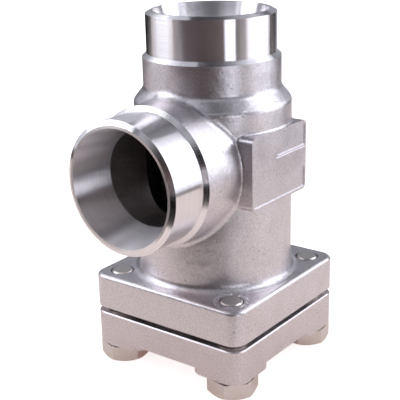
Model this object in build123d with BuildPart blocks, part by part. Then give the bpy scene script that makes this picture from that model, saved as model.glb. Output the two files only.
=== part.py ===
"""Angle-way line strainer for refrigeration pipework, DN 50 butt-weld ends.

Millimetres, +Z up. The origin is the centre of the top weld end. The side weld
end looks along -Y and the cast pad is on the +X side.
"""

from build123d import *
import math
import os

os.makedirs("parts", exist_ok=True)


# Sizes of the two weld ends

port_reach = 68.2
weld_radius = 30.15
weld_land_outer_radius = 27.9
weld_land_inner_radius = 26.7
weld_bevel_height = 1.2
top_turned_length = 19.0
side_turned_length = 19.7
ledge_height = 1.75
port_bore_radius = 22.2
port_cone_depth = 19.4

# Sizes of the cast body, drops measured down from the top weld end

neck_radius = 32.2
neck_end_drop = 35.0
barrel_top_drop = 41.0
barrel_radius = 37.0
shoulder_hollow_radius = 4.5
shoulder_crown_radius = 3.5
flange_top_drop = 125.0
flange_thickness = 17.2
flange_side = 86.5
flange_corner_radius = 7.0
flange_edge_radius = 1.8
flange_root_radius = 4.0
branch_root_radius = 4.0

# Sizes of the inside of the body

chamber_radius = 32.5
chamber_top_drop = 44.5
chamber_crown_radius = 3.0
seat_radius = 26.5
seat_drop = 36.0

# Sizes of the cast pad on the side of the body

pad_face_reach = 37.5
pad_width = 45.0
pad_height = 33.6
pad_edge_radius = 0.8
pad_panel_depth = 0.6
pad_corner_radius = 2.5
pad_root_radius = 1.2
upper_panel_width = 24.8
upper_panel_height = 11.2
upper_panel_shift = 9.2
upper_panel_rise = 10.3
lower_panel_width = 43.1
lower_panel_height = 11.0
lower_panel_drop = 10.2
panel_corner_radius = 1.6
panel_wall_slope = 40.0
panel_line_width = 0.8
panel_line_depth = 0.38
panel_line_drop = 0.65
panel_line_slope = 45.0

# Sizes of the cover bolts and their holes

bolt_edge_distance = 10.55
bolt_radius = 7.0
bolt_tip_radius = 5.2
bolt_tip_chamfer = 0.6
bolt_proud = 0.5
bolt_head_across_flats = 21.0
bolt_head_height = 8.6
bolt_head_face_radius = 9.9
bolt_head_bevel_height = 1.3
bolt_washer_face_height = 0.6
bolt_washer_face_radius = 9.9
bolt_thread_slip = 0.3
bolt_exit_slip = 0.5
bolt_exit_depth = 2.2
bolt_exit_overcut = 1.0
bolt_turns = (8.0, 16.0, 12.0, 27.0)

# Sizes of the bottom cover

cover_gap = 2.4
cover_inset = 0.05
cover_thickness = 13.4
cover_edge_chamfer = 0.5
cover_land_radius = 38.0
cover_land_height = 0.9
cover_pad_side = 28.0
cover_pad_height = 3.25
cover_bolt_slip = 0.75
spigot_slip = 0.3
spigot_height = 4.7
spigot_wall = 3.2
sump_floor_thickness = 7.5
hub_radius = 17.0
foot_count = 4
foot_width = 6.0
foot_height = 9.5
foot_inner_radius = 19.0
foot_lip_height = 2.5
foot_root = 1.0

# Size of the gasket between body and cover

gasket_inner_slip = 0.7

# Sizes of the drain plug and its ring

plug_radius = 8.3
plug_slip = 0.3
plug_thread_length = 11.5
plug_collar_radius = 11.5
plug_collar_height = 2.6
plug_hex_across_flats = 17.0
plug_hex_height = 3.8
plug_edge_chamfer = 0.4
ring_inset = 0.5
ring_thickness = 1.5

# Sizes of the strainer insert

insert_seat_slip = 0.3
insert_gap = 0.3
tube_wall = 0.8
tube_hole_radius = 4.2
tube_holes_around = 9
tube_hole_rows = 7
tube_plain_end = 11.2
screen_wall = 0.5
end_plate_thickness = 2.0
end_rim_wall = 0.5
end_rim_height = 6.0
end_hub_wall = 0.6

# Reach within which an edge or corner is picked

pick_reach = 0.1

# Levels and fits worked out from the sizes above

side_axis_z = -port_reach
upper_panel_bottom_z = side_axis_z + upper_panel_rise - upper_panel_height / 2
upper_line_z = upper_panel_bottom_z - panel_line_drop
flange_top_z = -flange_top_drop
flange_bottom_z = flange_top_z - flange_thickness
cover_top_z = flange_bottom_z - cover_gap
cover_bottom_z = cover_top_z - cover_thickness
cover_land_z = cover_top_z + cover_land_height
cover_pad_z = cover_bottom_z - cover_pad_height
bolt_pitch = flange_side - 2 * bolt_edge_distance
cover_side = flange_side - 2 * cover_inset
cover_pad_spacing = cover_side - cover_pad_side
gasket_outer_radius = cover_land_radius
gasket_inner_radius = chamber_radius + gasket_inner_slip
spigot_radius = chamber_radius - spigot_slip
spigot_top_z = cover_land_z + spigot_height
sump_radius = spigot_radius - spigot_wall
sump_floor_z = cover_bottom_z + sump_floor_thickness
cap_bottom_z = sump_floor_z + foot_height
bolt_tip_z = flange_top_z + bolt_proud
bolt_tip_length = bolt_proud + bolt_exit_depth + bolt_thread_slip
bolt_exit_radius = bolt_tip_radius + bolt_exit_slip
bolt_head_corner_radius = bolt_head_across_flats / math.sqrt(3)
bolt_head_cone_slope = (bolt_head_corner_radius - bolt_head_face_radius) / bolt_head_bevel_height
bolt_head_cone_radius = bolt_head_face_radius + bolt_head_cone_slope * bolt_head_height
plug_seat_z = cover_pad_z - ring_thickness
ring_outer_radius = plug_collar_radius - ring_inset
insert_top_z = -seat_drop
end_rim_radius = seat_radius - insert_seat_slip
screen_radius = end_rim_radius - end_rim_wall - insert_gap
screen_inner_radius = screen_radius - screen_wall
tube_outer_radius = screen_inner_radius - insert_gap
tube_inner_radius = tube_outer_radius - tube_wall
tube_top_z = insert_top_z - end_plate_thickness - insert_gap
tube_bottom_z = cap_bottom_z + end_plate_thickness + insert_gap
tube_first_row_z = tube_bottom_z + tube_plain_end
tube_row_pitch = (tube_top_z - tube_bottom_z - 2 * tube_plain_end) / (tube_hole_rows - 1)
end_hub_radius = tube_inner_radius - insert_gap
end_bore_radius = end_hub_radius - end_hub_wall
foot_lip_radius = end_rim_radius + insert_gap
foot_length = sump_radius - foot_inner_radius + foot_root
foot_lip_length = sump_radius - foot_lip_radius + foot_root
branch_axis = Axis((0, 0, side_axis_z), (0, -1, 0))
bolt_places = (
    (-bolt_pitch / 2, -bolt_pitch / 2),
    (bolt_pitch / 2, -bolt_pitch / 2),
    (bolt_pitch / 2, bolt_pitch / 2),
    (-bolt_pitch / 2, bolt_pitch / 2),
)


# Cast housing with both weld ends

with BuildPart() as housing:
    with BuildSketch(Plane.XY.offset(flange_bottom_z)):
        RectangleRounded(flange_side, flange_side, flange_corner_radius)
    extrude(amount=flange_thickness)
    flange_rim = housing.faces().sort_by(Axis.Z)[-1].edges()
    fillet(flange_rim, radius=flange_edge_radius)
    with BuildSketch(Plane.XZ) as barrel_profile:
        with BuildLine():
            Polyline(
                (0, 0),
                (weld_land_outer_radius, 0),
                (weld_radius, -weld_bevel_height),
                (weld_radius, -top_turned_length),
                (neck_radius, -top_turned_length - ledge_height),
                (neck_radius, -neck_end_drop),
                (barrel_radius, -barrel_top_drop),
                (barrel_radius, flange_bottom_z),
                (0, flange_bottom_z),
                (0, 0),
            )
        make_face()
        hollow = barrel_profile.vertices().sort_by_distance((neck_radius, -neck_end_drop))[0]
        fillet(hollow, radius=shoulder_hollow_radius)
        crown = barrel_profile.vertices().sort_by_distance((barrel_radius, -barrel_top_drop))[0]
        fillet(crown, radius=shoulder_crown_radius)
    revolve(axis=Axis.Z)
    flange_root = (
        housing.edges()
        .filter_by(GeomType.CIRCLE)
        .filter_by(lambda edge: abs(edge.radius - barrel_radius) < pick_reach)
        .filter_by_position(Axis.Z, flange_top_z - pick_reach, flange_top_z + pick_reach)
    )
    fillet(flange_root, radius=flange_root_radius)
    with BuildSketch(Plane.YZ):
        with BuildLine():
            Polyline(
                (0, side_axis_z),
                (-port_reach, side_axis_z),
                (-port_reach, side_axis_z + weld_land_outer_radius),
                (-port_reach + weld_bevel_height, side_axis_z + weld_radius),
                (-port_reach + side_turned_length, side_axis_z + weld_radius),
                (-port_reach + side_turned_length + ledge_height, side_axis_z + neck_radius),
                (0, side_axis_z + neck_radius),
                (0, side_axis_z),
            )
        make_face()
    revolve(axis=branch_axis)
    branch_root = housing.edges().filter_by(GeomType.BSPLINE).sort_by(SortBy.LENGTH)[-1]
    fillet(branch_root, radius=branch_root_radius)

    # Cast pad with its two sunk panels and the fine line under the upper one
    with BuildSketch(Plane.YZ):
        with Locations((0, side_axis_z)):
            RectangleRounded(pad_width, pad_height, pad_corner_radius)
    extrude(amount=pad_face_reach)
    pad_side = housing.faces().filter_by(Axis.Y).sort_by_distance(
        (barrel_radius, -pad_width / 2, side_axis_z)
    )[0]
    fillet(pad_side.edges().filter_by(GeomType.CIRCLE), radius=pad_root_radius)
    pad_rim = housing.faces().filter_by(Axis.X).sort_by(Axis.X)[-1].edges()
    fillet(pad_rim, radius=pad_edge_radius)
    with BuildSketch(Plane.YZ.offset(pad_face_reach)):
        with Locations((upper_panel_shift, side_axis_z + upper_panel_rise)):
            RectangleRounded(upper_panel_width, upper_panel_height, panel_corner_radius)
        with Locations((0, side_axis_z - lower_panel_drop)):
            RectangleRounded(lower_panel_width, lower_panel_height, panel_corner_radius)
    extrude(amount=-pad_panel_depth, taper=panel_wall_slope, mode=Mode.SUBTRACT)
    with BuildSketch(Plane.YZ.offset(pad_face_reach)):
        with Locations((upper_panel_shift, upper_line_z)):
            Rectangle(upper_panel_width, panel_line_width)
    extrude(amount=-panel_line_depth, taper=panel_line_slope, mode=Mode.SUBTRACT)

    # Way through: both bores, the seat for the insert and the chamber
    with BuildSketch(Plane.XZ) as inside_profile:
        with BuildLine():
            Polyline(
                (0, 0),
                (weld_land_inner_radius, 0),
                (port_bore_radius, -port_cone_depth),
                (port_bore_radius, -seat_drop),
                (seat_radius, -seat_drop),
                (seat_radius, -chamber_top_drop),
                (chamber_radius, -chamber_top_drop),
                (chamber_radius, flange_bottom_z),
                (0, flange_bottom_z),
                close=True,
            )
        make_face()
        chamber_crown = inside_profile.vertices().sort_by_distance(
            (chamber_radius, -chamber_top_drop)
        )[0]
        fillet(chamber_crown, radius=chamber_crown_radius)
    revolve(axis=Axis.Z, mode=Mode.SUBTRACT)
    with BuildSketch(Plane.YZ):
        with BuildLine():
            Polyline(
                (0, side_axis_z),
                (-port_reach, side_axis_z),
                (-port_reach, side_axis_z + weld_land_inner_radius),
                (-port_reach + port_cone_depth, side_axis_z + port_bore_radius),
                (0, side_axis_z + port_bore_radius),
                close=True,
            )
        make_face()
    revolve(axis=branch_axis, mode=Mode.SUBTRACT)

    # Tapped bolt holes, narrower where the bolt tips come out
    with BuildSketch(Plane.XY.offset(flange_bottom_z)):
        with Locations(*bolt_places):
            Circle(bolt_radius + bolt_thread_slip)
    extrude(amount=flange_thickness - bolt_exit_depth, mode=Mode.SUBTRACT)
    with BuildSketch(Plane.XY.offset(flange_bottom_z)):
        with Locations(*bolt_places):
            Circle(bolt_exit_radius)
    extrude(amount=flange_thickness + bolt_exit_overcut, mode=Mode.SUBTRACT)

housing.part.label = "housing"
export_step(housing.part, "parts/housing.step")


# Flat gasket between housing and cover

with BuildPart() as cover_gasket:
    with BuildSketch(Plane.XY.offset(cover_land_z)):
        Circle(gasket_outer_radius)
        Circle(gasket_inner_radius, mode=Mode.SUBTRACT)
    extrude(amount=flange_bottom_z - cover_land_z)

cover_gasket.part.label = "cover_gasket"
export_step(cover_gasket.part, "parts/cover_gasket.step")


# Cast bottom cover with its spigot, sump, feet, corner pads and hub

with BuildPart() as bottom_cover:
    with BuildSketch(Plane.XY.offset(cover_bottom_z)):
        RectangleRounded(cover_side, cover_side, flange_corner_radius)
    extrude(amount=cover_thickness)
    cover_rim = bottom_cover.faces().sort_by(Axis.Z)[-1].edges()
    chamfer(cover_rim, length=cover_edge_chamfer)
    with BuildSketch(Plane.XY.offset(cover_top_z)):
        Circle(cover_land_radius)
    extrude(amount=cover_land_height)
    with BuildSketch(Plane.XY.offset(cover_land_z)):
        Circle(spigot_radius)
    extrude(amount=spigot_height)
    with BuildSketch(Plane.XY.offset(sump_floor_z)):
        Circle(sump_radius)
    extrude(amount=spigot_top_z - sump_floor_z, mode=Mode.SUBTRACT)
    with BuildSketch(Plane.XY.offset(sump_floor_z)):
        with PolarLocations(foot_inner_radius, foot_count):
            Rectangle(foot_length, foot_width, align=(Align.MIN, Align.CENTER))
    extrude(amount=cap_bottom_z - sump_floor_z)
    with BuildSketch(Plane.XY.offset(cap_bottom_z)):
        with PolarLocations(foot_lip_radius, foot_count):
            Rectangle(foot_lip_length, foot_width, align=(Align.MIN, Align.CENTER))
    extrude(amount=foot_lip_height)
    with BuildSketch(Plane.XY.offset(cover_pad_z)):
        with GridLocations(cover_pad_spacing, cover_pad_spacing, 2, 2):
            RectangleRounded(cover_pad_side, cover_pad_side, flange_corner_radius)
        Circle(hub_radius)
    extrude(amount=cover_pad_height)
    with BuildSketch(Plane.XY.offset(cover_pad_z)):
        with Locations(*bolt_places):
            Circle(bolt_radius + cover_bolt_slip)
        Circle(plug_radius + plug_slip)
    extrude(amount=sump_floor_z - cover_pad_z, mode=Mode.SUBTRACT)
    with BuildSketch(Plane.XY.offset(cover_pad_z)):
        with Locations(*bolt_places):
            Circle(bolt_radius + cover_bolt_slip)
    extrude(amount=cover_land_z - cover_pad_z, mode=Mode.SUBTRACT)

bottom_cover.part.label = "bottom_cover"
export_step(bottom_cover.part, "parts/bottom_cover.step")


# Four hexagon head bolts, each turned as it was left when tightened

for number, (place, turn) in enumerate(zip(bolt_places, bolt_turns), start=1):
    with BuildPart() as cover_bolt:
        with BuildSketch(Plane.XY.offset(cover_pad_z - bolt_head_height)):
            with Locations(place):
                RegularPolygon(
                    bolt_head_across_flats / 2, 6, major_radius=False, rotation=turn + 30
                )
        extrude(amount=bolt_head_height - bolt_washer_face_height)
        with Locations((place[0], place[1], cover_pad_z - bolt_head_height)):
            Cone(
                bolt_head_face_radius,
                bolt_head_cone_radius,
                bolt_head_height,
                align=(Align.CENTER, Align.CENTER, Align.MIN),
                mode=Mode.INTERSECT,
            )
        with BuildSketch(Plane.XY.offset(cover_pad_z - bolt_washer_face_height)):
            with Locations(place):
                Circle(bolt_washer_face_radius)
        extrude(amount=bolt_washer_face_height)
        with BuildSketch(Plane.XY.offset(cover_pad_z)):
            with Locations(place):
                Circle(bolt_radius)
        extrude(amount=bolt_tip_z - bolt_tip_length - cover_pad_z)
        with BuildSketch(Plane.XY.offset(bolt_tip_z - bolt_tip_length)):
            with Locations(place):
                Circle(bolt_tip_radius)
        extrude(amount=bolt_tip_length)
        tip_rim = cover_bolt.faces().sort_by(Axis.Z)[-1].edges()
        chamfer(tip_rim, length=bolt_tip_chamfer)

    cover_bolt.part.label = f"cover_bolt_{number}"
    export_step(cover_bolt.part, f"parts/cover_bolt_{number}.step")


# Sealing ring under the drain plug

with BuildPart() as plug_ring:
    with BuildSketch(Plane.XY.offset(cover_pad_z - ring_thickness)):
        Circle(ring_outer_radius)
        Circle(plug_radius + plug_slip, mode=Mode.SUBTRACT)
    extrude(amount=ring_thickness)

plug_ring.part.label = "plug_ring"
export_step(plug_ring.part, "parts/plug_ring.step")


# Drain plug in the middle of the cover

with BuildPart() as drain_plug:
    with BuildSketch(Plane.XY.offset(plug_seat_z - plug_collar_height - plug_hex_height)):
        RegularPolygon(plug_hex_across_flats / 2, 6, major_radius=False)
    extrude(amount=plug_hex_height)
    with BuildSketch(Plane.XY.offset(plug_seat_z - plug_collar_height)):
        Circle(plug_collar_radius)
    extrude(amount=plug_collar_height)
    with BuildSketch(Plane.XY.offset(plug_seat_z)):
        Circle(plug_radius)
    extrude(amount=plug_thread_length)
    plug_end = drain_plug.faces().sort_by(Axis.Z)[-1].edges()
    chamfer(plug_end, length=plug_edge_chamfer)

drain_plug.part.label = "drain_plug"
export_step(drain_plug.part, "parts/drain_plug.step")


# Strainer insert: ring at the top end

with BuildPart() as strainer_top_ring:
    with BuildSketch(Plane.XZ):
        with BuildLine():
            Polyline(
                (end_bore_radius, insert_top_z),
                (end_rim_radius, insert_top_z),
                (end_rim_radius, insert_top_z - end_rim_height),
                (end_rim_radius - end_rim_wall, insert_top_z - end_rim_height),
                (end_rim_radius - end_rim_wall, insert_top_z - end_plate_thickness),
                (end_hub_radius, insert_top_z - end_plate_thickness),
                (end_hub_radius, insert_top_z - end_rim_height),
                (end_bore_radius, insert_top_z - end_rim_height),
                close=True,
            )
        make_face()
    revolve(axis=Axis.Z)

strainer_top_ring.part.label = "strainer_top_ring"
export_step(strainer_top_ring.part, "parts/strainer_top_ring.step")


# Strainer insert: closed cap at the bottom end

with BuildPart() as strainer_bottom_cap:
    with BuildSketch(Plane.XZ):
        with BuildLine():
            Polyline(
                (0, cap_bottom_z),
                (end_rim_radius, cap_bottom_z),
                (end_rim_radius, cap_bottom_z + end_rim_height),
                (end_rim_radius - end_rim_wall, cap_bottom_z + end_rim_height),
                (end_rim_radius - end_rim_wall, cap_bottom_z + end_plate_thickness),
                (end_hub_radius, cap_bottom_z + end_plate_thickness),
                (end_hub_radius, cap_bottom_z + end_rim_height),
                (end_bore_radius, cap_bottom_z + end_rim_height),
                (end_bore_radius, cap_bottom_z + end_plate_thickness),
                (0, cap_bottom_z + end_plate_thickness),
                close=True,
            )
        make_face()
    revolve(axis=Axis.Z)

strainer_bottom_cap.part.label = "strainer_bottom_cap"
export_step(strainer_bottom_cap.part, "parts/strainer_bottom_cap.step")


# Strainer insert: perforated support tube

with BuildPart() as strainer_support_tube:
    with BuildSketch(Plane.XY.offset(tube_bottom_z)):
        Circle(tube_outer_radius)
        Circle(tube_inner_radius, mode=Mode.SUBTRACT)
    extrude(amount=tube_top_z - tube_bottom_z)
    for row in range(tube_hole_rows):
        row_z = tube_first_row_z + row * tube_row_pitch
        row_turn = (row % 2) * 180 / tube_holes_around
        for hole in range(tube_holes_around):
            hole_turn = row_turn + hole * 360 / tube_holes_around
            hole_side = Vector(1, 0, 0).rotate(Axis.Z, hole_turn)
            hole_plane = Plane(origin=(0, 0, row_z), z_dir=hole_side)
            with BuildSketch(hole_plane):
                Circle(tube_hole_radius)
            extrude(amount=screen_radius, mode=Mode.SUBTRACT)

strainer_support_tube.part.label = "strainer_support_tube"
export_step(strainer_support_tube.part, "parts/strainer_support_tube.step")


# Strainer insert: woven mesh screen, given here as a plain thin sleeve

with BuildPart() as strainer_screen:
    with BuildSketch(Plane.XY.offset(tube_bottom_z)):
        Circle(screen_radius)
        Circle(screen_inner_radius, mode=Mode.SUBTRACT)
    extrude(amount=tube_top_z - tube_bottom_z)

strainer_screen.part.label = "strainer_screen"
export_step(strainer_screen.part, "parts/strainer_screen.step")
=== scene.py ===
"""Looks of the refrigeration line strainer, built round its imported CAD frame. Metres, +Z up."""

import math

import bpy
from mathutils import Matrix, Vector


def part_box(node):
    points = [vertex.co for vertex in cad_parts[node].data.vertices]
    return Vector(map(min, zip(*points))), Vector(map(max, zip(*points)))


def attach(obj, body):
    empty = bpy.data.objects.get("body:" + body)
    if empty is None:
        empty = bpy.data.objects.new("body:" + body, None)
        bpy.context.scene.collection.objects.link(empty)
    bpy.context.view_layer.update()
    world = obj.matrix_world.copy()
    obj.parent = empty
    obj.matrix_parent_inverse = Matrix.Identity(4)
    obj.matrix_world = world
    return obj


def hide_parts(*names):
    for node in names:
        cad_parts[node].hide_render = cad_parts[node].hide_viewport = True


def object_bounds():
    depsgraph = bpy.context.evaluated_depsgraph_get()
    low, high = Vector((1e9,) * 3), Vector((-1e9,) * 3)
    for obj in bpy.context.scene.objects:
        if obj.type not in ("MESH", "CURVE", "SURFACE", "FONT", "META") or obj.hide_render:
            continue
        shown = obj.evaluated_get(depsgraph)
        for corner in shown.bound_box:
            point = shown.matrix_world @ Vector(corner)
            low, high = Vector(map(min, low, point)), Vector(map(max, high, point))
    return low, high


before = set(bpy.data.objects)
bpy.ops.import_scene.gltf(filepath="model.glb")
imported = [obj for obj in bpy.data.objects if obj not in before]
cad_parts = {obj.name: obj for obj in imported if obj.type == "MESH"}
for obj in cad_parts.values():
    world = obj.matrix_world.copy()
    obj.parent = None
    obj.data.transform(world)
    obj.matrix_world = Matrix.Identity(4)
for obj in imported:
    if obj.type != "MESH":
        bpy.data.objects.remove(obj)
cad_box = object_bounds()

MM = 0.001


# Small helpers for colours and nodes


def linear(hex_colour):
    """An sRGB hex colour as the linear values that a socket takes."""
    parts = [int(hex_colour[i : i + 2], 16) / 255 for i in (1, 3, 5)]
    return [c / 12.92 if c <= 0.04045 else ((c + 0.055) / 1.055) ** 2.4 for c in parts] + [1.0]


def node(tree, kind, inputs=None, **settings):
    """Adds one node; inputs are values or the output sockets that feed it."""
    made = tree.nodes.new(kind)
    for name, value in settings.items():
        setattr(made, name, value)
    for key, value in (inputs or {}).items():
        if isinstance(value, bpy.types.NodeSocket):
            tree.links.new(value, made.inputs[key])
        else:
            made.inputs[key].default_value = value
    return made


def new_material(name):
    """An empty material with its node tree, its Principled shader and its object coordinates."""
    made = bpy.data.materials.new(name)
    made.use_nodes = True
    tree = made.node_tree
    tree.nodes.clear()
    shader = node(tree, "ShaderNodeBsdfPrincipled")
    node(tree, "ShaderNodeOutputMaterial", {0: shader.outputs[0]})
    place = node(tree, "ShaderNodeTexCoord").outputs["Object"]
    return made, tree, shader, place


def finish_shader(tree, shader, colour, tone, **patterns):
    """Gives a shader its colour, lighter and darker by the tone, and other patterns by socket."""
    patterns["Base Color"] = node(
        tree,
        "ShaderNodeVectorMath",
        {0: linear(colour)[:3], "Scale": tone.outputs[0]},
        operation="SCALE",
    )
    for socket, pattern in patterns.items():
        tree.links.new(pattern.outputs[0], shader.inputs[socket])


# Camera at the photograph's place, found by fitting the main edges of the object

VIEW_TURN = math.radians(37.43)
VIEW_RISE = math.radians(18.77)
VIEW_ROLL = math.radians(-1.37)
VIEW_DISTANCE = 461.77 * MM
VIEW_AIM = Vector((-5.598, -4.285, -91.87)) * MM
# Both in millimetres, as the camera takes them
LENS = 85.63
SENSOR_WIDTH = 36

right = Vector((math.cos(VIEW_TURN), math.sin(VIEW_TURN), 0))
back = Vector(
    (
        math.sin(VIEW_TURN) * math.cos(VIEW_RISE),
        -math.cos(VIEW_TURN) * math.cos(VIEW_RISE),
        math.sin(VIEW_RISE),
    )
)
up = back.cross(right)
rolled_right = right * math.cos(VIEW_ROLL) + up * math.sin(VIEW_ROLL)
rolled_up = up * math.cos(VIEW_ROLL) - right * math.sin(VIEW_ROLL)
camera_data = bpy.data.cameras.new("camera")
camera_data.lens = LENS
camera_data.sensor_width = SENSOR_WIDTH
camera = bpy.data.objects.new("camera", camera_data)
bpy.context.scene.collection.objects.link(camera)
turn = Matrix((rolled_right, rolled_up, back)).transposed().to_4x4()
camera.matrix_world = Matrix.Translation(VIEW_AIM + back * VIEW_DISTANCE) @ turn
bpy.context.scene.camera = camera
bpy.context.scene.view_settings.view_transform = "Standard"


# Where the finishes change on the housing, in the CAD's own measures

SIDE_AXIS = -68.2 * MM
PORT_REACH = 68.2 * MM
# How far both weld ends are turned outside, and how deep the cones inside them go
TOP_TURNED_END = -20.9 * MM
SIDE_TURNED_END = -46.6 * MM
CONE_DEPTH = 19.6 * MM
SIDE_CONE_END = CONE_DEPTH - PORT_REACH
# The seat of the insert's top ring, the side end's neck, the chamber and the flange
SEAT_LEVEL = -44.6 * MM
SEAT_BORE = 27.5 * MM
NECK_RADIUS = 32.5 * MM
INSIDE_RADIUS = 33.0 * MM
FLANGE_UNDERSIDE = -142.1 * MM
# A face belongs to a bore where its normal leans this far towards the bore's axis
LOOKS_INWARD = 0.3
FRONT_BOLT_EXIT = (32.7 * MM, -32.7 * MM, -125.0 * MM)


# Finishes. Most values of a noise pattern lie in the span below. A tone is a share of the finish's
# own colour, from the first number to the second, or where it is one number, what is added to it

NOISE_SPAN = {"From Min": 0.3, "From Max": 0.7}

# Cast steel: soft lumps and long waves, and pits in about a quarter of the cells of their
# pattern. A pit's floor and edge are in shares of the spacing
LUMP_SIZE = 2.6 * MM
LUMP_HEIGHT = 0.07 * MM
WAVE_SIZE = 8 * MM
WAVE_HEIGHT = 0.22 * MM
PIT_SPACING = 3.2 * MM
PIT_DEPTH = 0.08 * MM
PIT_SHAPE = {"From Min": 0.06, "From Max": 0.16, "To Min": 1.0, "To Max": 0.0}
PIT_CELLS = {"From Min": 0.66, "From Max": 0.7, "To Min": 0.0, "To Max": 1.0}
# How much darker a pit's colour is painted: painted shade in its hollow
PIT_PAINTED_SHADE = -0.4
SAND_TONE = {"To Min": 0.86, "To Max": 1.12}
WAVE_TONE = {"To Min": 0.95, "To Max": 1.04}
SATIN_SPREAD = 0.04

# The spot-facing cutter's ring round the front bolt tip, worn away in places
CUT_RADIUS = 7.3 * MM
CUT_HALF_WIDTH = 1.0 * MM
CUT_LEVEL_RANGE = 0.5 * MM
CUT_DEPTH = 0.25 * MM
CUT_TONE = 0.35
WORN_SIZE = 3.4 * MM
WORN_AWAY = {"From Min": 0.44, "From Max": 0.54, "To Min": 0.0, "To Max": 1.0}


def cutter_ring(tree, place, bolt_exit):
    """Where the cutter's ring is left on the flat face that a bolt tip comes out of."""
    from_bolt = node(tree, "ShaderNodeVectorMath", {0: place, 1: bolt_exit}, operation="SUBTRACT")
    level = node(
        tree, "ShaderNodeVectorMath", {0: from_bolt.outputs[0], 1: (1, 1, 0)}, operation="MULTIPLY"
    )
    reach = node(tree, "ShaderNodeVectorMath", {0: level.outputs[0]}, operation="LENGTH")
    ring = node(
        tree,
        "ShaderNodeMath",
        {0: reach.outputs["Value"], 1: CUT_RADIUS, 2: CUT_HALF_WIDTH},
        operation="COMPARE",
    )
    height = node(tree, "ShaderNodeSeparateXYZ", {0: from_bolt.outputs[0]})
    on_top = node(
        tree,
        "ShaderNodeMath",
        {0: height.outputs["Z"], 1: 0.0, 2: CUT_LEVEL_RANGE},
        operation="COMPARE",
    )
    ring = node(
        tree, "ShaderNodeMath", {0: ring.outputs[0], 1: on_top.outputs[0]}, operation="MULTIPLY"
    )
    wear = node(
        tree, "ShaderNodeTexNoise", {"Vector": place, "Scale": 1 / WORN_SIZE, "Detail": 2.0}
    )
    left = node(tree, "ShaderNodeMapRange", {"Value": wear.outputs[0], **WORN_AWAY})
    return node(
        tree, "ShaderNodeMath", {0: ring.outputs[0], 1: left.outputs[0]}, operation="MULTIPLY"
    )


def cast_steel(name, colour, roughness, grain=0.9 * MM, grain_height=0.04 * MM, bolt_exit=None):
    """Cast stainless steel, shot-blasted: satin and pale, sandy, with soft lumps and a few pits.

    The real grit is about 0.3 mm, too fine to show at this distance, so it is drawn about 1 mm
    coarse. With a bolt_exit, the cutter's ring is left round it.
    """
    made, tree, shader, place = new_material(name)
    shader.inputs["Metallic"].default_value = 1.0
    sand, lumps, waves = [
        node(tree, "ShaderNodeTexNoise", {"Vector": place, "Scale": 1 / size, "Detail": detail})
        for size, detail in ((grain, 2.0), (LUMP_SIZE, 2.0), (WAVE_SIZE, 3.0))
    ]
    cells = node(tree, "ShaderNodeTexVoronoi", {"Vector": place, "Scale": 1 / PIT_SPACING})
    pit = node(tree, "ShaderNodeMapRange", {"Value": cells.outputs["Distance"], **PIT_SHAPE})
    pitted = node(tree, "ShaderNodeMapRange", {"Value": cells.outputs["Color"], **PIT_CELLS})
    pits = node(
        tree, "ShaderNodeMath", {0: pit.outputs[0], 1: pitted.outputs[0]}, operation="MULTIPLY"
    )
    tone = node(tree, "ShaderNodeMapRange", {"Value": sand.outputs[0], **NOISE_SPAN, **SAND_TONE})
    cloud = node(
        tree, "ShaderNodeMapRange", {"Value": waves.outputs[0], **NOISE_SPAN, **WAVE_TONE}
    )
    # The pits' colour is darkened: painted shade in their hollows
    dark = node(
        tree,
        "ShaderNodeMath",
        {0: pits.outputs[0], 1: PIT_PAINTED_SHADE, 2: 1.0},
        operation="MULTIPLY_ADD",
    )
    tones = [cloud, dark]
    satin = node(
        tree,
        "ShaderNodeMapRange",
        {
            "Value": waves.outputs[0],
            **NOISE_SPAN,
            "To Min": roughness - SATIN_SPREAD,
            "To Max": roughness + SATIN_SPREAD,
        },
    )
    hollows = node(tree, "ShaderNodeMath", {0: pits.outputs[0], 1: -1.0}, operation="MULTIPLY")
    heights = [(lumps, LUMP_HEIGHT), (waves, WAVE_HEIGHT), (hollows, PIT_DEPTH)]
    if bolt_exit:
        mark = cutter_ring(tree, place, bolt_exit)
        bright = node(
            tree,
            "ShaderNodeMath",
            {0: mark.outputs[0], 1: CUT_TONE, 2: 1.0},
            operation="MULTIPLY_ADD",
        )
        tones.append(bright)
        sunk = node(tree, "ShaderNodeMath", {0: mark.outputs[0], 1: -1.0}, operation="MULTIPLY")
        heights.append((sunk, CUT_DEPTH))
    for share in tones:
        tone = node(
            tree, "ShaderNodeMath", {0: tone.outputs[0], 1: share.outputs[0]}, operation="MULTIPLY"
        )
    relief = node(tree, "ShaderNodeBump", {"Distance": grain_height, "Height": sand.outputs[0]})
    for pattern, height in heights:
        relief = node(
            tree,
            "ShaderNodeBump",
            {"Distance": height, "Height": pattern.outputs[0], "Normal": relief.outputs[0]},
        )
    finish_shader(tree, shader, colour, tone, Roughness=satin, Normal=relief)
    return made


# Turned steel: the tool's rings, and the clouds in which its shine changes a little. Reflections
# stretch across the rings, a quarter turn from the way that these run
RING_WIDTH = 1.1 * MM
GROOVE_DEPTH = 0.005 * MM
RING_TONE = {"To Min": 0.95, "To Max": 1.03}
SHINE_SIZE = 6 * MM
SHINE_SPREAD = 0.005
STRETCH_TURN = 0.25
# A millimetre out along a face counts as this much of one along the axis, so its rings are wider
FACE_FEED = 0.6


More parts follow.
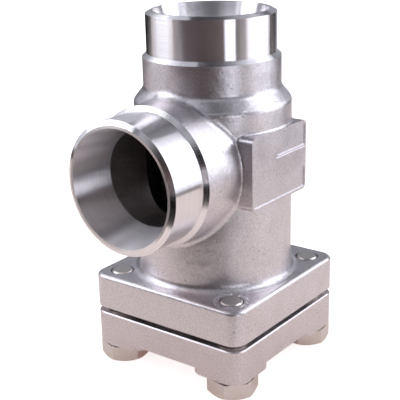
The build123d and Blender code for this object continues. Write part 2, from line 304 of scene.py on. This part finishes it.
def turned_steel(name, colour, roughness, centre, axis):
    """Stainless steel turned on a lathe: bright, its fine rings stretch reflections along the axis.

    The tool leaves a ring every 0.15 mm or so. They are drawn 1.1 mm wide, or they wouldn't show.
    """
    made, tree, shader, place = new_material(name)
    shader.inputs["Metallic"].default_value = 1.0
    shader.inputs["Anisotropic"].default_value = 1.0
    shader.inputs["Anisotropic Rotation"].default_value = STRETCH_TURN
    around = node(tree, "ShaderNodeTangent", direction_type="RADIAL", axis=axis)
    along, across = ((0, 0, 1), (1, 1, 0)) if axis == "Z" else ((0, 1, 0), (1, 0, 1))
    local = node(tree, "ShaderNodeVectorMath", {0: place, 1: centre}, operation="SUBTRACT")
    axial = node(
        tree, "ShaderNodeVectorMath", {0: local.outputs[0], 1: along}, operation="DOT_PRODUCT"
    )
    flat = node(
        tree, "ShaderNodeVectorMath", {0: local.outputs[0], 1: across}, operation="MULTIPLY"
    )
    radial = node(tree, "ShaderNodeVectorMath", {0: flat.outputs[0]}, operation="LENGTH")
    tool_path = node(
        tree,
        "ShaderNodeMath",
        {0: radial.outputs["Value"], 1: FACE_FEED, 2: axial.outputs["Value"]},
        operation="MULTIPLY_ADD",
    )
    rings = node(
        tree,
        "ShaderNodeTexNoise",
        {"W": tool_path.outputs[0], "Scale": 1 / RING_WIDTH, "Detail": 1.0},
        noise_dimensions="1D",
    )
    tone = node(
        tree, "ShaderNodeMapRange", {"Value": rings.outputs[0], **NOISE_SPAN, **RING_TONE}
    )
    cloud = node(
        tree, "ShaderNodeTexNoise", {"Vector": place, "Scale": 1 / SHINE_SIZE, "Detail": 2.0}
    )
    shine = node(
        tree,
        "ShaderNodeMapRange",
        {
            "Value": cloud.outputs[0],
            **NOISE_SPAN,
            "To Min": roughness - SHINE_SPREAD,
            "To Max": roughness + SHINE_SPREAD,
        },
    )
    grooves = node(tree, "ShaderNodeBump", {"Distance": GROOVE_DEPTH, "Height": rings.outputs[0]})
    finish_shader(tree, shader, colour, tone, Roughness=shine, Normal=grooves, Tangent=around)
    return made


# Headed, rolled and drawn metal: the tone of its tool marks, and the wear of handling
MARK_TONE = {"To Min": 0.93, "To Max": 1.04}
HANDLED_SIZE = 5 * MM
HANDLED_SPREAD = 0.05


def worked_metal(name, colour, roughness, mark_size, mark_depth):
    """Metal that was headed, rolled or drawn, not cast: smooth, with its tools' faint marks.

    mark_size is how long the marks are along X, Y and Z. The real ones are finer than a pixel of
    the render, so they are drawn longer and wider.
    """
    made, tree, shader, place = new_material(name)
    shader.inputs["Metallic"].default_value = 1.0
    spread = node(tree, "ShaderNodeVectorMath", {0: place, 1: mark_size}, operation="DIVIDE")
    marks = node(
        tree, "ShaderNodeTexNoise", {"Vector": spread.outputs[0], "Scale": 1.0, "Detail": 4.0}
    )
    handling = node(
        tree, "ShaderNodeTexNoise", {"Vector": place, "Scale": 1 / HANDLED_SIZE, "Detail": 3.0}
    )
    tone = node(
        tree, "ShaderNodeMapRange", {"Value": marks.outputs[0], **NOISE_SPAN, **MARK_TONE}
    )
    shine = node(
        tree,
        "ShaderNodeMapRange",
        {
            "Value": handling.outputs[0],
            **NOISE_SPAN,
            "To Min": roughness - HANDLED_SPREAD,
            "To Max": roughness + HANDLED_SPREAD,
        },
    )
    relief = node(tree, "ShaderNodeBump", {"Distance": mark_depth, "Height": marks.outputs[0]})
    finish_shader(tree, shader, colour, tone, Roughness=shine, Normal=relief)
    return made


# Gasket sheet: its short fibres
FIBRE_SIZE = 0.8 * MM
FIBRE_HEIGHT = 0.04 * MM
FIBRE_TONE = {"To Min": 0.6, "To Max": 1.5}


def pressed_fibre(name, colour, roughness):
    """Flat gasket sheet of pressed fibre and graphite: dull, nearly black, with short fibres.

    The fibres are thinner than a hair. They are drawn 0.8 mm coarse, or they wouldn't show.
    """
    made, tree, shader, place = new_material(name)
    shader.inputs["Roughness"].default_value = roughness
    fibres = node(
        tree, "ShaderNodeTexNoise", {"Vector": place, "Scale": 1 / FIBRE_SIZE, "Detail": 4.0}
    )
    tone = node(
        tree, "ShaderNodeMapRange", {"Value": fibres.outputs[0], **NOISE_SPAN, **FIBRE_TONE}
    )
    relief = node(tree, "ShaderNodeBump", {"Distance": FIBRE_HEIGHT, "Height": fibres.outputs[0]})
    finish_shader(tree, shader, colour, tone, Normal=relief)
    return made


cast_body = cast_steel("shot_blasted_cast_stainless", "#dfd9dc", 0.38, bolt_exit=FRONT_BOLT_EXIT)
cast_cover = cast_steel("shot_blasted_cast_stainless_cover", "#ddd5d7", 0.4)
# Inside, the casting is as it came from its core: coarser and never blasted
# Its darker grey colour is painted shade of the bores and the chamber
cast_inside_shaded = cast_steel("as_cast_stainless_inside_painted_shade", "#b9b2b0", 0.45, 1.4 * MM, 0.06 * MM)
TOP_CENTRE = (0, 0, 0)
SIDE_CENTRE = (0, 0, SIDE_AXIS)
turned_top = turned_steel("turned_stainless_top_end", "#f7f3f5", 0.24, TOP_CENTRE, "Z")
turned_side = turned_steel("turned_stainless_side_end", "#f7f3f5", 0.24, SIDE_CENTRE, "Y")
# The cone inside the side end was bored with a coarser feed, so it is a little more satin
bored_side = turned_steel("bored_stainless_side_cone", "#f7f3f5", 0.3, SIDE_CENTRE, "Y")
gasket_sheet = pressed_fibre("graphite_fibre_gasket_sheet", "#262525", 0.85)
# Short dents and scuffs all ways, as a header's dies and a spanner leave them
DENTS = (0.9 * MM, 0.9 * MM, 0.9 * MM)
bolt_steel = worked_metal("cold_headed_stainless_bolts", "#e0d9d4", 0.34, DENTS, 0.015 * MM)
ring_metal = worked_metal("soft_annealed_aluminium_ring", "#d6d9dc", 0.42, DENTS, 0.01 * MM)
# Long level lines of the rolling mill on the sheet, and lines along the drawn wire
MILL_LINES = (7 * MM, 7 * MM, 0.5 * MM)
insert_metal = worked_metal(
    "rolled_stainless_insert_sheet", "#cbc9c8", 0.28, MILL_LINES, 0.006 * MM
)
DIE_LINES = (0.4 * MM, 0.4 * MM, 4 * MM)
wire_metal = worked_metal("drawn_stainless_screen_wire", "#b9b6b3", 0.34, DIE_LINES, 0.004 * MM)


# Finishes on the CAD's nodes; the housing's own faces take one of five by where they are

HOUSING_FINISHES = [cast_body, turned_top, turned_side, cast_inside_shaded, bored_side]
CAST_BODY, TURNED_TOP, TURNED_SIDE, CAST_INSIDE_SHADED, BORED_SIDE = range(len(HOUSING_FINISHES))
NODE_FINISHES = {
    "housing": HOUSING_FINISHES,
    "cover_gasket": [gasket_sheet],
    "bottom_cover": [cast_cover],
    "cover_bolt_1": [bolt_steel],
    "cover_bolt_2": [bolt_steel],
    "cover_bolt_3": [bolt_steel],
    "cover_bolt_4": [bolt_steel],
    "plug_ring": [ring_metal],
    "drain_plug": [bolt_steel],
    "strainer_top_ring": [insert_metal],
    "strainer_bottom_cap": [insert_metal],
    "strainer_support_tube": [insert_metal],
    "strainer_screen": [wire_metal],
}


def housing_finish(face):
    """Which of the housing's finishes a face takes, by its place and the bore it looks into."""
    spot, normal = face.center, face.normal
    from_axis = math.hypot(spot.x, spot.y)
    from_side_axis = math.hypot(spot.x, spot.z - SIDE_AXIS)
    inward = spot.x * normal.x + spot.y * normal.y < -LOOKS_INWARD * from_axis
    side_slant = spot.x * normal.x + (spot.z - SIDE_AXIS) * normal.z
    side_inward = side_slant < -LOOKS_INWARD * from_side_axis
    if spot.y < SIDE_TURNED_END and from_side_axis < NECK_RADIUS:
        if not side_inward:
            return TURNED_SIDE
        return CAST_INSIDE_SHADED if spot.y > SIDE_CONE_END else BORED_SIDE
    if spot.z > TOP_TURNED_END and (spot.z > -CONE_DEPTH or not inward):
        return TURNED_TOP
    top_way = inward and from_axis < SEAT_BORE and spot.z > SEAT_LEVEL
    side_way = side_inward and from_side_axis < SEAT_BORE and spot.y < 0
    chamber = (inward or side_inward) and from_axis < INSIDE_RADIUS and spot.z > FLANGE_UNDERSIDE
    return CAST_INSIDE_SHADED if top_way or side_way or chamber else CAST_BODY


for name, finishes in NODE_FINISHES.items():
    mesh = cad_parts[name].data
    mesh.materials.clear()
    for finish in finishes:
        mesh.materials.append(finish)
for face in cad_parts["housing"].data.polygons:
    face.material_index = housing_finish(face)


# Woven wire screen round the insert, which takes the place of the CAD's plain sleeve

# The real cloth has about two wires a millimetre; drawn with one every 2.4 mm, so that they show
SCREEN_UPRIGHTS = 66
SCREEN_HOOPS = 42
WIRE_RADIUS = 0.12 * MM
WIRE_SIDES = 4
WEAVE_DEPTH = 0.12 * MM
SLEEVE_CLEARANCE = 0.01 * MM
# In half gaps the weave repeats every four: over a wire, between two, under one, between two
WEAVE_STEPS = 4
sleeve_low, sleeve_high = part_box("strainer_screen")
SCREEN_RADIUS = sleeve_high.x - WIRE_RADIUS - WEAVE_DEPTH - SLEEVE_CLEARANCE
HOOP_GAP = (sleeve_high.z - sleeve_low.z) / SCREEN_HOOPS


def pick(piece, kind, wanted):
    """Selects, in the mesh being edited, only the vertices or edges that the test wants."""
    bpy.ops.mesh.select_mode(type=kind)
    bpy.ops.mesh.select_all(action="DESELECT")
    bpy.ops.object.mode_set(mode="OBJECT")
    parts = piece.data.vertices if kind == "VERT" else piece.data.edges
    for part in parts:
        part.select = wanted(part)
    bpy.ops.object.mode_set(mode="EDIT")


def join(pieces):
    """Joins pieces into the first one."""
    bpy.ops.object.select_all(action="DESELECT")
    for piece in pieces:
        piece.select_set(True)
    bpy.context.view_layer.objects.active = pieces[0]
    bpy.ops.object.join()
    return pieces[0]


def screen_hoop(first):
    """A hoop that goes outside the first upright and inside the next, or the other way round."""
    bpy.ops.object.select_all(action="DESELECT")
    level = sleeve_low.z + (0.5 if first else 1.5) * HOOP_GAP
    bpy.ops.mesh.primitive_torus_add(
        major_segments=2 * SCREEN_UPRIGHTS,
        minor_segments=WIRE_SIDES,
        major_radius=SCREEN_RADIUS,
        minor_radius=WIRE_RADIUS,
        location=(0, 0, level),
    )
    hoop = bpy.context.object
    bpy.ops.object.transform_apply(location=True, rotation=True, scale=True)
    bpy.ops.object.mode_set(mode="EDIT")

    def steps_round(point):
        """How many half gaps between uprights a point lies round the hoop."""
        return round(math.atan2(point.co.y, point.co.x) / math.tau * 2 * SCREEN_UPRIGHTS)

    for crossing, outward in ((0, first), (2, not first)):
        pick(hoop, "VERT", lambda point: steps_round(point) % WEAVE_STEPS == crossing)
        grow = 1 + (1 if outward else -1) * WEAVE_DEPTH / SCREEN_RADIUS
        bpy.ops.transform.resize(value=(grow, grow, 1), center_override=(0, 0, level))
    bpy.ops.object.mode_set(mode="OBJECT")
    return hoop


def screen_upright(first):
    """An upright that goes inside the first hoop and outside the next, or the other way round."""
    bpy.ops.object.select_all(action="DESELECT")
    bpy.ops.mesh.primitive_cylinder_add(
        vertices=WIRE_SIDES,
        radius=WIRE_RADIUS,
        depth=SCREEN_HOOPS * HOOP_GAP,
        location=(SCREEN_RADIUS, 0, (sleeve_low.z + sleeve_high.z) / 2),
    )
    upright = bpy.context.object
    bpy.ops.object.transform_apply(location=True, rotation=True, scale=True)
    bpy.ops.object.mode_set(mode="EDIT")

    def runs_upright(edge):
        """Whether an edge runs the whole height of the wire."""
        low, high = [upright.data.vertices[end].co.z for end in edge.vertices]
        return abs(high - low) > HOOP_GAP

    def steps_up(point):
        """How many half gaps between hoops a point lies up the wire."""
        return round((point.co.z - sleeve_low.z) / HOOP_GAP * 2)

    pick(upright, "EDGE", runs_upright)
    bpy.ops.mesh.subdivide(number_cuts=2 * SCREEN_HOOPS - 1)
    for crossing, outward in ((1, not first), (3, first)):
        pick(upright, "VERT", lambda point: steps_up(point) % WEAVE_STEPS == crossing)
        shift = (1 if outward else -1) * WEAVE_DEPTH
        bpy.ops.transform.translate(value=(shift, 0, 0))
    bpy.ops.object.mode_set(mode="OBJECT")
    upright.rotation_euler.z = 0 if first else math.tau / SCREEN_UPRIGHTS
    bpy.ops.object.transform_apply(location=True, rotation=True, scale=True)
    return upright


hoops = join([screen_hoop(True), screen_hoop(False)])
rows = hoops.modifiers.new("rows", "ARRAY")
rows.use_relative_offset = False
rows.use_constant_offset = True
rows.constant_offset_displace = (0, 0, 2 * HOOP_GAP)
rows.count = SCREEN_HOOPS // 2
bpy.ops.object.modifier_apply(modifier="rows")

uprights = join([screen_upright(True), screen_upright(False)])
pairs = SCREEN_UPRIGHTS // 2
bpy.ops.object.mode_set(mode="EDIT")
bpy.ops.mesh.select_all(action="SELECT")
bpy.ops.mesh.spin(
    steps=pairs - 1,
    dupli=True,
    angle=math.tau * (pairs - 1) / pairs,
    center=(0, 0, 0),
    axis=(0, 0, 1),
)
bpy.ops.object.mode_set(mode="OBJECT")
woven_screen = join([uprights, hoops])
woven_screen.name = "woven_screen"
woven_screen.data.materials.append(wire_metal)
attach(woven_screen, "root")
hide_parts("strainer_screen")


# Studio: a pale floor, and sheets round the table that only the metal reflects

FLOOR_LEVEL = cad_box[0].z
FLOOR_SIZE = 8
# How strongly the floor glows to the camera, and the warm glow of it that the metal reflects
FLOOR_GLOW_SEEN = 0.75
FLOOR_GLOW_REFLECTED = 0.17
WARM_PAPER = "#ffc3b7"

bpy.ops.mesh.primitive_plane_add(size=FLOOR_SIZE, location=(0, 0, FLOOR_LEVEL))
floor = bpy.context.object
floor.name = "floor"
floor_paint, tree, shader, _ = new_material("white_sweep_paper")
shader.inputs["Base Color"].default_value = linear("#f0eeed")
shader.inputs["Roughness"].default_value = 0.9
shader.inputs["Specular IOR Level"].default_value = 0.0
ray = node(tree, "ShaderNodeLightPath")
# A Mix node's sockets share their names: 6 and 7 are its two colours, 2 and 3 its two numbers
glow_colour = node(
    tree,
    "ShaderNodeMix",
    {0: ray.outputs["Is Camera Ray"], 6: linear(WARM_PAPER), 7: linear("#ffffff")},
    data_type="RGBA",
)
tree.links.new(glow_colour.outputs[2], shader.inputs["Emission Color"])
reflected = node(
    tree,
    "ShaderNodeMath",
    {0: ray.outputs["Is Glossy Ray"], 1: FLOOR_GLOW_REFLECTED},
    operation="MULTIPLY",
)
glow = node(
    tree,
    "ShaderNodeMath",
    {0: ray.outputs["Is Camera Ray"], 1: FLOOR_GLOW_SEEN, 2: reflected.outputs[0]},
    operation="MULTIPLY_ADD",
)
tree.links.new(glow.outputs[0], shader.inputs["Emission Strength"])
floor.data.materials.append(floor_paint)

SHEET_DISTANCE = 0.6
CAMERA_SIDE = math.atan2(back.y, back.x)
SOFT_BOX_WHITE = "#f1f5ff"
BROWN_CLOTH = "#ffd4d0"


def hang(sheet, name, glow, colour):
    """Makes a sheet glow for reflections alone, so it lights nothing else and casts no shadow."""
    sheet.name = name
    paint = bpy.data.materials.new(name)
    paint.use_nodes = True
    paint.node_tree.nodes.clear()
    shine = node(paint.node_tree, "ShaderNodeEmission", {0: linear(colour), 1: glow})
    node(paint.node_tree, "ShaderNodeOutputMaterial", {0: shine.outputs[0]})
    sheet.data.materials.append(paint)
    sheet.visible_camera = False
    sheet.visible_diffuse = False
    sheet.visible_transmission = False
    sheet.visible_shadow = False


def side_sheet(name, first, last, bottom, top, glow, colour=SOFT_BOX_WHITE):
    """An upright sheet that fills first to last, in degrees round the object from the camera."""
    middle = math.radians((first + last) / 2) + CAMERA_SIDE
    width = 2 * SHEET_DISTANCE * math.tan(math.radians((last - first) / 2))
    bpy.ops.mesh.primitive_plane_add(
        size=1,
        location=(
            SHEET_DISTANCE * math.cos(middle),
            SHEET_DISTANCE * math.sin(middle),
            FLOOR_LEVEL + (bottom + top) / 2,
        ),
        rotation=(math.pi / 2, 0, middle - math.pi / 2),
    )
    sheet = bpy.context.object
    sheet.scale = (width, top - bottom, 1)
    hang(sheet, name, glow, colour)


def level_sheet(name, first, last, near, far, level, glow):
    """A level sheet, overhead or on the table, from near to far off the middle."""
    middle = math.radians((first + last) / 2) + CAMERA_SIDE
    width = 2 * abs(far) * math.tan(math.radians((last - first) / 2))
    reach = (near + far) / 2
    bpy.ops.mesh.primitive_plane_add(
        size=1,
        location=(reach * math.cos(middle), reach * math.sin(middle), FLOOR_LEVEL + level),
        rotation=(0, 0, middle),
    )
    sheet = bpy.context.object
    sheet.scale = (far - near, width, 1)
    hang(sheet, name, glow, SOFT_BOX_WHITE)


# Three tiers of upright sheets: low ones as high as the strainer, middle ones above it, and high
# ones up to the roof. Each has its first and last degree, its bottom and top, and its glow
SILL = 0.06
LOW_TOP = 0.2
MIDDLE_TOP = 0.45
ROOF_LEVEL = 0.8
SIDE_SHEETS = (
    # The dim room on the left and in front: the grey and brown of the turned ends' dark bands
    ("dim_wall_left", -126, -70, 0, SILL, 0.12),
    ("low_strip_box_left", -118, -78, SILL, LOW_TOP, 1.1),
    ("dim_wall_front", -70, 21, 0, LOW_TOP, 0.11, BROWN_CLOTH),
    # A narrow strip box beside the camera: the white line down the right half of both turned ends
    ("strip_box_front_right", 21, 39, 0, LOW_TOP, 3.1),
    # Low panels on the right: the pale right sides of flange, cover and pad
    ("low_panel_right", 59, 116, 0, SILL, 1.2),
    ("low_strip_box_right", 62, 112, SILL, LOW_TOP, 2.0),
    ("low_panel_back_right", 147, 180, 0, LOW_TOP, 0.5),
    # Black flags hide the pale floor behind them: the dark edges of the turned ends
    ("black_flag_back_left", -180, -126, 0, LOW_TOP, 0.0),
    ("black_flag_right", 39, 59, 0, LOW_TOP, 0.0),
    ("black_flag_back_right", 116, 147, 0, LOW_TOP, 0.0),
    # Middle: a strip box and a window light the edges of barrel, neck and branch
    ("back_wall_left", -180, -110, LOW_TOP, MIDDLE_TOP, 0.35),
    ("strip_box_left", -110, -70, LOW_TOP, MIDDLE_TOP, 2.8),
    ("dim_wall_right", 45, 75, LOW_TOP, MIDDLE_TOP, 0.3),
    ("window_right", 75, 118, LOW_TOP, MIDDLE_TOP, 2.9),
    ("back_wall_right", 118, 180, LOW_TOP, MIDDLE_TOP, 0.35),
    # High: tall soft boxes on both sides, turned to the back, for the shoulder, the branch's top
    # and the flange's top
    ("high_wall_back_left", -180, -150, MIDDLE_TOP, ROOF_LEVEL, 0.8),
    ("tall_box_back_left", -150, -120, MIDDLE_TOP, ROOF_LEVEL, 1.5),
    ("tall_box_left", -120, -60, MIDDLE_TOP, ROOF_LEVEL, 2.8),
    ("high_wall_front", -60, 60, MIDDLE_TOP, ROOF_LEVEL, 0.5),
    ("tall_box_right", 60, 100, MIDDLE_TOP, ROOF_LEVEL, 3.3),
    ("tall_box_back_right", 100, 140, MIDDLE_TOP, ROOF_LEVEL, 1.9),
    ("high_wall_back_right", 140, 180, MIDDLE_TOP, ROOF_LEVEL, 0.1),
)
# Level sheets have their first and last degree, how near and far they are, their level and glow
ON_TABLE = 0.001
LEVEL_SHEETS = (
    ("roof_panel_right", 45, 135, 0.15, 0.6, ROOF_LEVEL, 0.3),
    # A black card on the table keeps the pale floor out of the faces that look at the camera
    ("black_card_front", -48, 20, 0.17, 0.6, ON_TABLE, 0.0),
    # A second one on the right: the dark line along the lower half of the turned side end
    ("black_card_right", 84, 124, 0.37, 0.55, ON_TABLE, 0.0),
    ("roof_panel_left", -135, -45, 0.15, 0.6, ROOF_LEVEL, 0.6),
)
for sheet in SIDE_SHEETS:
    side_sheet(*sheet)
for sheet in LEVEL_SHEETS:
    level_sheet(*sheet)

# The world lights the object evenly and is white to the camera, and metal doesn't reflect it
WORLD_LEVEL = 0.78
WORLD_SEEN = 1.0
WORLD_REFLECTED = 0.0

world = bpy.data.worlds.new("studio")
bpy.context.scene.world = world
world.use_nodes = True
tree = world.node_tree
tree.nodes.clear()
ray = node(tree, "ShaderNodeLightPath")
level = node(
    tree,
    "ShaderNodeMix",
    {0: ray.outputs["Is Camera Ray"], 2: WORLD_LEVEL, 3: WORLD_SEEN},
    data_type="FLOAT",
)
level = node(
    tree,
    "ShaderNodeMix",
    {0: ray.outputs["Is Glossy Ray"], 2: level.outputs[0], 3: WORLD_REFLECTED},
    data_type="FLOAT",
)
sky = node(tree, "ShaderNodeBackground", {0: linear("#ffffff"), 1: level.outputs[0]})
node(tree, "ShaderNodeOutputWorld", {0: sky.outputs[0]})
